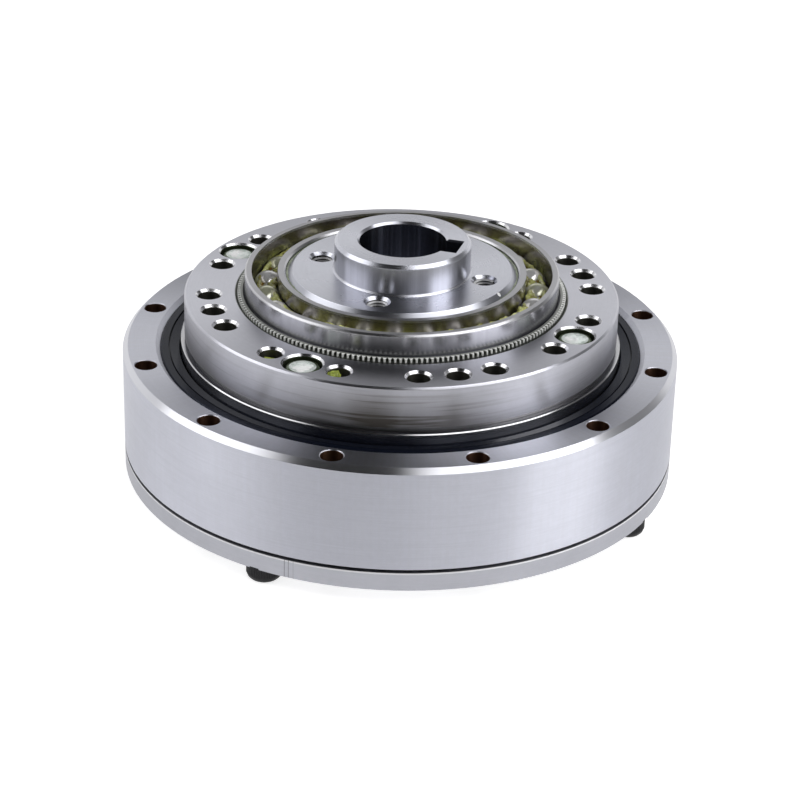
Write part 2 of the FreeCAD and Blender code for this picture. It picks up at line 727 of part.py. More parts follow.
def make_ball_cage():
    """A crown cage: a ring below the balls with two horns around each ball."""
    body = new_body("ball_cage")
    inner_r = "inner_race_out_r + cage_gap"
    outer_r = "outer_race_in_r - cage_gap"
    horn_top = "ball_z + cage_horn"
    revolve(body, "crown", [
        (inner_r, "ball_z - cage_floor"),
        (outer_r, "ball_z - cage_floor"),
        (outer_r, horn_top),
        (inner_r, horn_top),
    ])
    pocket = body.newObject("PartDesign::SubtractiveSphere", "first_pocket")
    bind(pocket, "Radius", "ball / 2 + cage_play")
    bind(pocket, "Placement.Base.x", "ball_circle_r")
    bind(pocket, "Placement.Base.z", "ball_z")
    repeat(body, "pockets", [pocket], "balls")
    notch = body.newObject("PartDesign::SubtractiveCylinder", "first_notch")
    bind(notch, "Radius", "cage_notch / 2")
    bind(notch, "Height", "ball")
    point_outwards(notch, "ball_circle_r - ball / 2", "180 / balls", horn_top)
    repeat(body, "notches", [notch], "balls")
    return body


def make_wave_plug():
    """The elliptical plug with its boss, keyed bore and tapped holes."""
    blank = doc.addObject("Part::Feature", "wave_plug_blank")
    waist = ellipse_solid("plug_r", "plug_floor", "plug_top - plug_edge")
    crown = wave_loft("plug_r", "plug_top - plug_edge", "plug_r - plug_edge", "plug_top")
    foot = ellipse_solid("plug_r + plug_shoulder", "plug_floor", "race_floor")
    blank.Shape = waist.fuse([crown, foot]).removeSplitter()
    boss = new_body("wave_plug_boss")
    revolve(boss, "boss_turned", [
        ("0", "plug_top - boss_height"),
        ("boss / 2 + boss_fillet", "plug_top - boss_height"),
        ("boss / 2 + boss_fillet", "plug_top"),
        ("boss / 2", "plug_top + boss_fillet"),
        ("boss / 2", "boss_top - boss_edge"),
        ("boss / 2 - boss_edge", "boss_top"),
        ("0", "boss_top"),
    ])
    solid = doc.addObject("Part::MultiFuse", "wave_plug_solid")
    solid.Shapes = [blank, boss]
    cutter = new_body("wave_plug_cutter")
    deep = "boss_top - plug_floor"
    revolve(cutter, "bore_turned", [
        ("0", "plug_floor"),
        ("bore / 2 + bore_edge", "plug_floor"),
        ("bore / 2", "plug_floor + bore_edge"),
        ("bore / 2", "boss_top - bore_edge"),
        ("bore / 2 + bore_edge", "boss_top"),
        ("0", "boss_top"),
    ])
    key = new_sketch(cutter, "keyway_outline", height="plug_floor")
    reach = "(bore / 2 + key_depth)"
    along_x, along_y = polar(reach, "hub_turn")
    side_x, side_y = polar("key_width / 2", "hub_turn + 90")
    draw_outline(key, [
        (f"-1 * {side_x}", f"-1 * {side_y}"),
        (f"{along_x} - {side_x}", f"{along_y} - {side_y}"),
        (f"{along_x} + {side_x}", f"{along_y} + {side_y}"),
        (side_x, side_y),
    ])
    extrude(cutter, "keyway", key, deep)
    rods = doc.addObject("Part::Feature", "plug_hole_rods")
    radius = value("plug_hole / 2")
    edge = value("plug_hole_edge")
    floor = value("plug_floor")
    top = value("plug_top")
    up = FreeCAD.Vector(0, 0, 1)
    tools = []
    for number in range(int(value("plug_holes"))):
        x, y = polar("plug_hole_circle / 2", f"hub_turn + 360 / plug_holes * {number}")
        low = FreeCAD.Vector(value(x), value(y), floor)
        high = FreeCAD.Vector(value(x), value(y), top - edge)
        rod = Part.makeCylinder(radius, top - floor, low, up)
        tools.append(rod.fuse(Part.makeCone(radius, radius + edge, edge, high, up)))
    rods.Shape = Part.makeCompound(tools)
    bored = boolean("Part::Cut", "wave_plug_bored", solid, cutter)
    return boolean("Part::Cut", "wave_plug", bored, rods)


nodes = [make_flexspline(), make_circular_spline(), make_bearing_inner_ring()]
nodes += make_bearing_outer_ring()
nodes += make_oil_seal()
nodes += make_races()
nodes += [
    make_rollers("cross_rollers_a", 45, 0),
    make_rollers("cross_rollers_b", -45, 1),
    make_roller_spacers(),
    make_bearing_balls(),
    make_ball_cage(),
    make_wave_plug(),
    cap_screws("brim_screws", "ring_hole_r", screw_angle, "spot_face_depth", "brim_screw_length", True),
    cap_screws("spline_screws", "spline_hole_r", screw_angle, "screw_seat", "spline_screw_length", False),
]
doc.recompute()

for item in doc.Objects:
    if {"Invalid", "Error"} & set(item.State):
        raise RuntimeError(f"{item.Label} failed: {item.State}")
for node in nodes:
    if node.Shape.isNull() or not node.Shape.isValid():
        raise RuntimeError(f"{node.Label} has no valid shape")

os.makedirs("parts", exist_ok=True)
for node in nodes:
    node.Shape.exportStep(f"parts/{node.Label}.step")
    print(node.Label, len(node.Shape.Solids), round(node.Shape.Volume, 2))
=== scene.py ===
import bpy
import math
from mathutils import Matrix, Vector


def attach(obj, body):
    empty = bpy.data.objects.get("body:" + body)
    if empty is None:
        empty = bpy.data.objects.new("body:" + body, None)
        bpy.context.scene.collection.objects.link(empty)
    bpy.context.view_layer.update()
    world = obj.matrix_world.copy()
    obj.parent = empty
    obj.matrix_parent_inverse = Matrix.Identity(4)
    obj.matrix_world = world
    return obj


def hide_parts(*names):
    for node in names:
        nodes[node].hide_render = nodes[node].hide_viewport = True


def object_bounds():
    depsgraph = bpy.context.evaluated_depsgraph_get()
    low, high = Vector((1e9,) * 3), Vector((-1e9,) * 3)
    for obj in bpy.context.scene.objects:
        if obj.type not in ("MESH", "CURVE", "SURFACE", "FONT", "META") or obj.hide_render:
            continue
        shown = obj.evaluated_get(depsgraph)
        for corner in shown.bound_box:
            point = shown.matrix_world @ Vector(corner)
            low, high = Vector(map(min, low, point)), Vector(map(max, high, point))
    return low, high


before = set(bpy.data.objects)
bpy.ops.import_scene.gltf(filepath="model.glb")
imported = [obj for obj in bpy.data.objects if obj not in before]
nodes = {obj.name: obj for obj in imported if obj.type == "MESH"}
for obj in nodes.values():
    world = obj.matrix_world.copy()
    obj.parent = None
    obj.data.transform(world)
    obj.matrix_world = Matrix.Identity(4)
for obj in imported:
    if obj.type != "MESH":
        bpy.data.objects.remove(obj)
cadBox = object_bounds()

mm = 0.001
softEdge = 0.02 * mm    # half width of a mask's edge
tiny = 0.001 * mm    # weld distance of the meshes
noiseMean = 0.5
floorHeight = cadBox[0].z    # the cap heads under the brim stand on the floor


# shader helpers

def newTree(name):
    material = bpy.data.materials.new(name)
    material.use_nodes = True
    tree = material.node_tree
    tree.nodes.clear()
    output = tree.nodes.new("ShaderNodeOutputMaterial")
    shader = tree.nodes.new("ShaderNodeBsdfPrincipled")
    tree.links.new(shader.outputs["BSDF"], output.inputs["Surface"])
    return material, tree, shader


def plug(tree, source, socket):    # a socket gets a link or a plain value
    if isinstance(source, bpy.types.NodeSocket):
        tree.links.new(source, socket)
    else:
        socket.default_value = source


def calc(tree, kind, first, second=0.0, third=0.0):
    node = tree.nodes.new("ShaderNodeMath")
    node.operation = kind
    for socket, source in zip(node.inputs, (first, second, third)):
        plug(tree, source, socket)
    return node.outputs[0]


def times(tree, first, second):
    return calc(tree, "MULTIPLY", first, second)


def spread(tree, source, limits, values):    # one range of numbers carried over to another
    node = tree.nodes.new("ShaderNodeMapRange")
    for socket, value in zip(node.inputs, (source, *limits, *values)):
        plug(tree, value, socket)
    return node.outputs["Result"]


def inMm(limits):
    return tuple(limit * mm for limit in limits)


def rise(tree, source, limits):    # 0 under the first limit, 1 over the second
    return spread(tree, source, inMm(limits), (0.0, 1.0))


def fall(tree, source, limits):    # 1 under the first limit, 0 over the second
    return spread(tree, source, inMm(limits), (1.0, 0.0))


def band(tree, source, limits, soft=softEdge):    # 1 between two limits, fading over a soft edge
    low, high = limits
    return times(tree, spread(tree, source, (low - soft, low + soft), (0.0, 1.0)),
                 spread(tree, source, (high - soft, high + soft), (1.0, 0.0)))


def mixColour(tree, factor, first, second):
    node = tree.nodes.new("ShaderNodeMix")
    node.data_type = "RGBA"
    plug(tree, factor, node.inputs["Factor"])
    plug(tree, first, node.inputs[6])
    plug(tree, second, node.inputs[7])
    return node.outputs[2]


def noiseAt(tree, vector, scale, detail=3.0, rough=0.5, fourth=None):
    node = tree.nodes.new("ShaderNodeTexNoise")
    plug(tree, vector, node.inputs["Vector"])
    node.inputs["Scale"].default_value = scale
    node.inputs["Detail"].default_value = detail
    node.inputs["Roughness"].default_value = rough
    if fourth is not None:
        node.noise_dimensions = "4D"
        plug(tree, fourth, node.inputs["W"])
    return node.outputs["Fac"]


def lathePlace(tree):    # radius, height and turn of a point about the gear axis
    coords = tree.nodes.new("ShaderNodeTexCoord")
    split = tree.nodes.new("ShaderNodeSeparateXYZ")
    tree.links.new(coords.outputs["Object"], split.inputs[0])
    x, y, z = split.outputs
    square = calc(tree, "ADD", times(tree, x, x), times(tree, y, y))
    return {"point": coords.outputs["Object"], "x": x, "y": y, "z": z,
            "radius": calc(tree, "SQRT", square), "turn": calc(tree, "ARCTAN2", y, x)}


def latheLines(tree, place, spacing, streak, detail=4.0):    # tool marks round the axis, with no seam
    ring = tree.nodes.new("ShaderNodeCombineXYZ")
    plug(tree, place["radius"], ring.inputs[0])
    plug(tree, place["z"], ring.inputs[1])
    plug(tree, times(tree, place["x"], 1 / streak), ring.inputs[2])
    fourth = times(tree, place["y"], 1 / streak)
    return noiseAt(tree, ring.outputs[0], 1 / (spacing * mm), detail, rough=0.6, fourth=fourth)


def latheTangent(tree, place):
    around = tree.nodes.new("ShaderNodeCombineXYZ")
    plug(tree, times(tree, place["y"], -1.0), around.inputs[0])
    plug(tree, place["x"], around.inputs[1])
    turn = tree.nodes.new("ShaderNodeVectorTransform")
    turn.vector_type = "VECTOR"
    turn.convert_from = "OBJECT"
    turn.convert_to = "WORLD"
    tree.links.new(around.outputs[0], turn.inputs[0])
    unit = tree.nodes.new("ShaderNodeVectorMath")
    unit.operation = "NORMALIZE"
    tree.links.new(turn.outputs[0], unit.inputs[0])
    return unit.outputs[0]


def crossLines(tree, place, count):    # grinding marks that run across the lathe lines
    spoke = tree.nodes.new("ShaderNodeCombineXYZ")
    plug(tree, calc(tree, "DIVIDE", place["x"], place["radius"]), spoke.inputs[0])
    plug(tree, calc(tree, "DIVIDE", place["y"], place["radius"]), spoke.inputs[1])
    return noiseAt(tree, spoke.outputs[0], count, detail=5.0, rough=0.65)


def holeMask(tree, place, circle, step, start, size):    # 1 inside the holes of a ring of holes
    shifted = calc(tree, "SUBTRACT", place["turn"], math.radians(start))
    sector = math.radians(step)
    whole = calc(tree, "ROUND", calc(tree, "DIVIDE", shifted, sector))
    local = calc(tree, "SUBTRACT", shifted, times(tree, whole, sector))
    out = calc(tree, "SUBTRACT", times(tree, place["radius"], calc(tree, "COSINE", local)), circle * mm)
    side = times(tree, place["radius"], calc(tree, "SINE", local))
    square = calc(tree, "ADD", times(tree, out, out), times(tree, side, side))
    limits = (size * mm - softEdge, size * mm + softEdge)
    return spread(tree, calc(tree, "SQRT", square), limits, (1.0, 0.0))


def layOver(tree, shader, mask, coat):    # one finish laid over another by a mask
    under = shader.inputs["Base Color"].links[0].from_socket
    plug(tree, mixColour(tree, mask, under, coat["colour"] + (1.0,)), shader.inputs["Base Color"])
    old = shader.inputs["Roughness"].links[0].from_socket
    step = calc(tree, "SUBTRACT", coat["rough"], old)
    plug(tree, calc(tree, "MULTIPLY_ADD", mask, step, old), shader.inputs["Roughness"])
    if "metal" in coat:
        socket = shader.inputs["Metallic"]
        old = socket.links[0].from_socket if socket.is_linked else socket.default_value
        step = calc(tree, "SUBTRACT", coat["metal"], old)
        plug(tree, calc(tree, "MULTIPLY_ADD", mask, step, old), socket)


def bumpUp(tree, shader, height, strength, distance):
    bump = tree.nodes.new("ShaderNodeBump")
    bump.inputs["Strength"].default_value = strength
    bump.inputs["Distance"].default_value = distance * mm
    plug(tree, height, bump.inputs["Height"])
    plug(tree, bump.outputs["Normal"], shader.inputs["Normal"])


# turned and ground steels: tool marks run round the axis and stretch the highlights across them

turnedFinishes = {
    "ringSteel": {"colour": (0.65, 0.66, 0.735), "rough": 0.42, "brush": 0.9, "lines": 0.16, "marks": 0.12},
    "hatSteel": {"colour": (0.50, 0.505, 0.55), "rough": 0.36, "brush": 0.6, "lines": 0.18, "marks": 0.10},
    "splineSteel": {"colour": (0.605, 0.61, 0.67), "rough": 0.31, "brush": 0.78, "lines": 0.14,
                    "marks": 0.12},
    "plugSteel": {"colour": (0.61, 0.62, 0.685), "rough": 0.27, "brush": 0.6, "lines": 0.12, "marks": 0.01},
    "raceSteel": {"colour": (0.56, 0.56, 0.585), "rough": 0.28, "brush": 0.6, "lines": 0.12, "marks": 0.03},
    "shoulderSteel": {"colour": (0.55, 0.55, 0.57), "rough": 0.2, "brush": 0.5, "lines": 0.14, "marks": 0.08},
}
turnedTone = {"streak": 40.0, "cloudScale": 90.0, "grainScale": 1100.0, "grainRough": 0.7, "detail": 4.0,
              "lineShare": 0.35, "cloudShare": 0.45, "grainShare": 0.2, "limits": (0.36, 0.64),
              "dark": 0.85, "cloudWear": 0.10, "acrossLines": 0.25}


def turnedSteel(name):
    finish = turnedFinishes[name]
    material, tree, shader = newTree(name)
    place = lathePlace(tree)
    lines = latheLines(tree, place, finish["lines"], turnedTone["streak"])
    cloud = noiseAt(tree, place["point"], turnedTone["cloudScale"], turnedTone["detail"])
    grain = noiseAt(tree, place["point"], turnedTone["grainScale"], turnedTone["detail"],
                    turnedTone["grainRough"])
    blend = calc(tree, "ADD", times(tree, lines, turnedTone["lineShare"]),
                 times(tree, cloud, turnedTone["cloudShare"]))
    blend = calc(tree, "MULTIPLY_ADD", grain, turnedTone["grainShare"], blend)
    tone = spread(tree, blend, turnedTone["limits"], (0.0, 1.0))
    dark = tuple(turnedTone["dark"] * part for part in finish["colour"]) + (1.0,)
    plug(tree, mixColour(tree, tone, dark, finish["colour"] + (1.0,)), shader.inputs["Base Color"])
    wear = finish["rough"]
    for noise, share in ((lines, finish["marks"]), (cloud, turnedTone["cloudWear"])):
        wear = calc(tree, "MULTIPLY_ADD", calc(tree, "SUBTRACT", noise, noiseMean), share, wear)
    plug(tree, wear, shader.inputs["Roughness"])
    shader.inputs["Metallic"].default_value = 1.0
    shader.inputs["Anisotropic"].default_value = finish["brush"]
    shader.inputs["Anisotropic Rotation"].default_value = turnedTone["acrossLines"]
    plug(tree, latheTangent(tree, place), shader.inputs["Tangent"])
    return material, tree, shader, place


ringMarks = {
    "radius": 45, "sideRadius": (44.85, 44.9), "sideShare": 0.5,    # the side shows less grinding
    "grindCount": 70.0, "grindTone": (0.40, 0.62), "grindMost": 0.5,
    "lineSpacing": 0.4, "lineStreak": 60.0, "lineDetail": 2.0, "lineTone": (0.50, 0.66), "lineMost": 0.22,
    "chamferHeight": (19.74, 19.8), "chamferRadius": (44.14, 44.2),
    "holes": {"circle": 42, "step": 30, "start": 0, "size": 1.79},
    "groundCoat": {"colour": (0.56, 0.565, 0.61), "rough": 0.37},
    "lineCoat": {"colour": (0.53, 0.54, 0.60), "rough": 0.45},
    "chamferCoat": {"colour": (0.68, 0.685, 0.73), "rough": 0.29},
    "holeCoat": {"colour": (0.075, 0.034, 0.018), "rough": 0.35, "metal": 0.7},
}


def outerRingFinish():    # turned side, cross-ground top, bright chamfer, brown oil in the twelve bolt holes
    marks = ringMarks
    material, tree, shader, place = turnedSteel("ringSteel")
    side = spread(tree, place["radius"], inMm(marks["sideRadius"]), (1.0, marks["sideShare"]))
    grind = crossLines(tree, place, marks["grindCount"])
    ground = times(tree, side, spread(tree, grind, marks["grindTone"], (0.0, marks["grindMost"])))
    layOver(tree, shader, ground, marks["groundCoat"])
    onSide = dict(place, radius=marks["radius"] * mm)
    lines = latheLines(tree, onSide, marks["lineSpacing"], marks["lineStreak"], marks["lineDetail"])
    layOver(tree, shader, spread(tree, lines, marks["lineTone"], (0.0, marks["lineMost"])), marks["lineCoat"])
    chamfer = times(tree, rise(tree, place["z"], marks["chamferHeight"]),
                    rise(tree, place["radius"], marks["chamferRadius"]))
    layOver(tree, shader, chamfer, marks["chamferCoat"])
    layOver(tree, shader, holeMask(tree, place, **marks["holes"]), marks["holeCoat"])
    return material


hatMarks = {
    "jointHeight": (3.0, 3.7), "jointRadius": (44.97, 44.99),
    "crownHeight": (19.0, 19.6), "crownRadius": (25.42, 25.48), "wave": 0.26,
    "toothHeight": (28.85, 29.0), "rimHeight": (29.40, 29.47),
    "endRadius": (25.72, 25.78), "tipRadius": (26.02, 26.10), "tipLimit": (28.0, 28.1),
    "edgeRadius": (44.9, 44.97), "cornerHeight": (2.75, 3.04), "cornerSoft": 0.03,
    "scribed": ((-128.35, 0.9), (-127.5, 0.8), (-126.5, 0.35)),    # degrees and depth of tone
    "scribeHalf": 0.06, "scribeSoft": 0.03,
    # painted shade: the joint groove under the ring, near black
    "jointShadeCoat": {"colour": (0.006, 0.005, 0.005), "rough": 0.6},
    "crownCoat": {"colour": (0.30, 0.31, 0.29), "rough": 0.4, "metal": 0.8},
    # painted shade in the gaps between the tooth ends
    "gapShadeCoat": {"colour": (0.11, 0.115, 0.10), "rough": 0.4, "metal": 0.6},
    "rimCoat": {"colour": (0.34, 0.35, 0.33), "rough": 0.5, "metal": 0.6},
    # a matt finish painted near white, partly a painted highlight
    "tipMattAndHighlightCoat": {"colour": (0.90, 0.91, 0.88), "rough": 0.6, "metal": 0.2},
    # a painted highlight on the brim's top corner
    "cornerHighlightCoat": {"colour": (0.86, 0.86, 0.88), "rough": 0.5, "metal": 0.6},
    "scribeCoat": {"colour": (0.13, 0.13, 0.14), "rough": 0.5},
}


def hatFinish():    # painted shade in the joint under the ring and in the tooth gaps, matt tooth ends painted pale as a highlight, a painted highlight on the brim's top corner, scribed marks on the brim's edge
    marks = hatMarks
    material, tree, shader, place = turnedSteel("hatSteel")
    radius, z = place["radius"], place["z"]
    # painted shade: the joint groove under the ring is painted near black
    joint = times(tree, band(tree, z, inMm(marks["jointHeight"])), fall(tree, radius, marks["jointRadius"]))
    layOver(tree, shader, joint, marks["jointShadeCoat"])
    crown = times(tree, rise(tree, z, marks["crownHeight"]), rise(tree, radius, marks["crownRadius"]))
    layOver(tree, shader, crown, marks["crownCoat"])
    # painted shade: the top of the tooth ring is darkened, and stays dark in the gaps between the tooth ends
    atTeeth = rise(tree, z, marks["toothHeight"])
    layOver(tree, shader, times(tree, crown, atTeeth), marks["gapShadeCoat"])
    rim = rise(tree, z, marks["rimHeight"])
    layOver(tree, shader, rim, marks["rimCoat"])
    oval = calc(tree, "SUBTRACT", times(tree, place["x"], place["x"]), times(tree, place["y"], place["y"]))
    oval = calc(tree, "DIVIDE", oval, times(tree, radius, radius))
    evenRadius = calc(tree, "MULTIPLY_ADD", oval, -marks["wave"] * mm, radius)    # with the wave taken out
    # tooth ends and tips: a matt finish painted near white, partly a painted highlight
    ends = times(tree, rim, rise(tree, evenRadius, marks["endRadius"]))
    tips = times(tree, atTeeth, rise(tree, evenRadius, marks["tipRadius"]))
    tips = times(tree, tips, fall(tree, radius, marks["tipLimit"]))
    layOver(tree, shader, calc(tree, "MAXIMUM", ends, tips), marks["tipMattAndHighlightCoat"])
    # painted highlight: a bright line round the brim's top corner
    edge = rise(tree, radius, marks["edgeRadius"])
    corner = band(tree, z, inMm(marks["cornerHeight"]), marks["cornerSoft"] * mm)
    layOver(tree, shader, times(tree, edge, corner), marks["cornerHighlightCoat"])
    half, soft = marks["scribeHalf"], math.radians(marks["scribeSoft"])
    for degrees, depth in marks["scribed"]:
        line = band(tree, place["turn"], (math.radians(degrees - half), math.radians(degrees + half)), soft)
        layOver(tree, shader, times(tree, times(tree, line, edge), depth), marks["scribeCoat"])
    return material


splineMarks = {
    "radius": 35, "wallRadius": (34.7, 34.9), "leadRadius": (26.75, 26.95),
    "stainScale": 90.0, "stainDetail": 1.5, "stainTone": (0.40, 0.65), "stainShadeRange": (0.35, 0.75),
    "lineSpacing": 0.5, "lineStreak": 40.0, "lineDetail": 1.0, "lineTone": (0.50, 0.62), "lineMost": 0.28,
    # brownish stains mixed with painted shade: darker low on the wall, less at the right side and the far
    # left
    "stainShadeHeight": (22.6, 28.2), "stainShadeFalloff": (1.5, 0.5), "stainShadeMost": 0.92,
    "rightStainShadeFade": (-8, 10), "rightShare": 0.2, "leftStainShadeFade": (-28, -16), "leftShare": 0.45,
    "holeCircle": 31, "plainHoles": ((45, 11.2), (45, -11.2), (90, 0)), "plainEdge": 2.18, "plainSize": 1.8,
    "screwHoles": (90, 45), "screwEdge": 3.36, "screwSize": 3.05,
    "stainShadeCoat": {"colour": (0.11, 0.098, 0.08), "rough": 0.38},
    "leadCoat": {"colour": (0.22, 0.235, 0.21), "rough": 0.35, "metal": 0.7},
    "edgeCoat": {"colour": (0.74, 0.74, 0.77), "rough": 0.22},
    "plainCoat": {"colour": (0.10, 0.10, 0.085), "rough": 0.3, "metal": 0.8},
    "screwCoat": {"colour": (0.07, 0.085, 0.05), "rough": 0.2, "metal": 0.8},
}


def splineFinish():    # oily holes with bright edges, dark tooth lead, brownish stains mixed with painted shade on the lower wall
    marks = splineMarks
    material, tree, shader, place = turnedSteel("splineSteel")
    stain = noiseAt(tree, place["point"], marks["stainScale"], marks["stainDetail"])
    onWall = dict(place, radius=marks["radius"] * mm)
    lines = latheLines(tree, onWall, marks["lineSpacing"], marks["lineStreak"], marks["lineDetail"])
    # partly brownish stains, partly painted shade, darker towards the bottom of the wall
    stainShadeAmount = calc(tree, "ADD", spread(tree, stain, marks["stainTone"], marks["stainShadeRange"]),
                  spread(tree, lines, marks["lineTone"], (0.0, marks["lineMost"])))
    low = times(tree, spread(tree, place["z"], inMm(marks["stainShadeHeight"]), marks["stainShadeFalloff"]),
                rise(tree, place["radius"], marks["wallRadius"]))
    stainShade = calc(tree, "MINIMUM", times(tree, low, stainShadeAmount), marks["stainShadeMost"])
    # less of the stains and painted shade on the right side and at the far left
    rightSide = spread(tree, place["x"], inMm(marks["rightStainShadeFade"]), (1.0, marks["rightShare"]))
    leftSide = spread(tree, place["x"], inMm(marks["leftStainShadeFade"]), (marks["leftShare"], 1.0))
    layOver(tree, shader, times(tree, times(tree, stainShade, rightSide), leftSide), marks["stainShadeCoat"])
    layOver(tree, shader, fall(tree, place["radius"], marks["leadRadius"]), marks["leadCoat"])
    holeKinds = [(pattern, marks["plainEdge"], marks["plainSize"], marks["plainCoat"])
                 for pattern in marks["plainHoles"]]
    holeKinds.append((marks["screwHoles"], marks["screwEdge"], marks["screwSize"], marks["screwCoat"]))
    circle = marks["holeCircle"]
    for (step, start), edgeSize, size, coat in holeKinds:
        layOver(tree, shader, holeMask(tree, place, circle, step, start, edgeSize), marks["edgeCoat"])
        layOver(tree, shader, holeMask(tree, place, circle, step, start, size), coat)
    return material


shoulderMarks = {"radius": (34.2, 34.8), "height": (21.0, 21.2),
                 "coat": {"colour": (0.06, 0.06, 0.065), "rough": 0.4}}


def shoulderFinish():    # the relief above the shoulder lies in the dark
    material, tree, shader, place = turnedSteel("shoulderSteel")
    relief = times(tree, fall(tree, place["radius"], shoulderMarks["radius"]),
                   rise(tree, place["z"], shoulderMarks["height"]))
    layOver(tree, shader, relief, shoulderMarks["coat"])
    return material


raceMarks = {
    "faceHeight": (32.93, 32.97), "wallRadius": (24.65, 24.7), "wallHeight": (32.5, 32.6),
    "grindCount": 22.0, "grindTone": (0.36, 0.64), "grindShare": (0.3, 0.85),
    "footHeight": (29.2, 32.4), "footMost": 0.7,
    "hollowRadius": (23.3, 24.4), "trackRadius": (19.35, 20.1), "worn": (32.5, 32.7),
    "hollowMost": 0.85, "trackMost": 0.6,
    "smearScale": 330.0, "smearDetail": 4.0, "smearRough": 0.6, "smearTone": (0.36, 0.60), "smearMost": 0.85,
    "smearRadius": (23.3, 24.35), "smearHeight": (30.2, 31.6),
    "faceCoat": {"colour": (0.42, 0.42, 0.44), "rough": 0.34},
    "groundCoat": {"colour": (0.36, 0.36, 0.385), "rough": 0.24},
    # painted shade at the foot of the wall
    "footShadeCoat": {"colour": (0.10, 0.10, 0.105), "rough": 0.24},
    "hollowCoat": {"colour": (0.20, 0.18, 0.16), "rough": 0.22},
    "trackCoat": {"colour": (0.27, 0.24, 0.20), "rough": 0.24},
    "smearCoat": {"colour": (0.40, 0.43, 0.11), "rough": 0.15, "metal": 0.3},
}


def raceFinish():    # darker end faces, wall ground across with painted shade at its foot, browned tracks, grease smeared in the outer race
    marks = raceMarks
    material, tree, shader, place = turnedSteel("raceSteel")
    radius, z = place["radius"], place["z"]
    layOver(tree, shader, rise(tree, z, marks["faceHeight"]), marks["faceCoat"])
    wall = times(tree, rise(tree, radius, marks["wallRadius"]), fall(tree, z, marks["wallHeight"]))
    grind = crossLines(tree, place, marks["grindCount"])
    ground = times(tree, wall, spread(tree, grind, marks["grindTone"], marks["grindShare"]))
    layOver(tree, shader, ground, marks["groundCoat"])
    footShade = times(tree, wall, spread(tree, z, inMm(marks["footHeight"]), (marks["footMost"], 0.0)))
    layOver(tree, shader, footShade, marks["footShadeCoat"])    # painted shade, darker towards the foot of the wall
    for part in ("hollow", "track"):    # both browned by use
        inside = band(tree, radius, inMm(marks[part + "Radius"]))
        below = spread(tree, z, inMm(marks["worn"]), (marks[part + "Most"], 0.0))
        layOver(tree, shader, times(tree, inside, below), marks[part + "Coat"])
    smear = noiseAt(tree, place["point"], marks["smearScale"], marks["smearDetail"], marks["smearRough"])
    inside = times(tree, band(tree, radius, inMm(marks["smearRadius"])), fall(tree, z, marks["smearHeight"]))
    patch = times(tree, inside, spread(tree, smear, marks["smearTone"], (0.0, marks["smearMost"])))
    layOver(tree, shader, patch, marks["smearCoat"])
    return material


plugMarks = {
    "boreRadius": (9.6, 9.7), "boreHeight": (37.8, 37.95),
    "honeCount": 9.0, "honeTone": (0.48, 0.62), "honeMost": 0.7,
    "bossRadius": (10.8, 11.1), "bossHeight": (33.4, 37.6), "bossSoft": 0.05,
    "grindCount": 16.0, "grindTone": (0.36, 0.64), "grindShare": (0.5, 0.95),
    "rimRadius": (17.2, 17.3), "rimHeight": (33.1, 33.17),
    "tapped": {"circle": 13.6, "step": 90, "start": -32.8, "size": 1.68},
    "stake": {"circle": 17.6, "step": 360, "start": -46, "size": 0.3},
    # painted shade in the bore
    "boreShadeCoat": {"colour": (0.17, 0.18, 0.22), "rough": 0.22},
    "honeCoat": {"colour": (0.36, 0.38, 0.45), "rough": 0.25},
    "bossCoat": {"colour": (0.415, 0.42, 0.46), "rough": 0.28},
    "rimCoat": {"colour": (0.46, 0.47, 0.52), "rough": 0.3},
    # painted shade in the tapped holes
    "tappedShadeCoat": {"colour": (0.05, 0.047, 0.043), "rough": 0.3, "metal": 0.9},
    "stakeCoat": {"colour": (0.95, 0.95, 0.95), "rough": 0.6, "metal": 0.4},
}


def plugFinish():    # bore painted darker as shade and honed across, boss ground across, painted shade in the tapped holes, one stake mark on the rim
    marks = plugMarks
    material, tree, shader, place = turnedSteel("plugSteel")
    radius, z = place["radius"], place["z"]
    # painted shade: the bore is painted dark
    bore = times(tree, fall(tree, radius, marks["boreRadius"]), fall(tree, z, marks["boreHeight"]))
    layOver(tree, shader, bore, marks["boreShadeCoat"])
    hone = crossLines(tree, place, marks["honeCount"])
    honed = spread(tree, hone, marks["honeTone"], (0.0, marks["honeMost"]))
    layOver(tree, shader, times(tree, bore, honed), marks["honeCoat"])
    boss = times(tree, band(tree, radius, inMm(marks["bossRadius"])),
                 band(tree, z, inMm(marks["bossHeight"]), marks["bossSoft"] * mm))
    grind = crossLines(tree, place, marks["grindCount"])
    ground = times(tree, boss, spread(tree, grind, marks["grindTone"], marks["grindShare"]))
    layOver(tree, shader, ground, marks["bossCoat"])
    rim = times(tree, rise(tree, radius, marks["rimRadius"]), fall(tree, z, marks["rimHeight"]))
    layOver(tree, shader, rim, marks["rimCoat"])
    # painted shade: the tapped holes are painted dark behind the threads
    layOver(tree, shader, holeMask(tree, place, **marks["tapped"]), marks["tappedShadeCoat"])
    layOver(tree, shader, holeMask(tree, place, **marks["stake"]), marks["stakeCoat"])
    return material


# other finishes: two tones mixed by a fine noise, which also varies the gloss

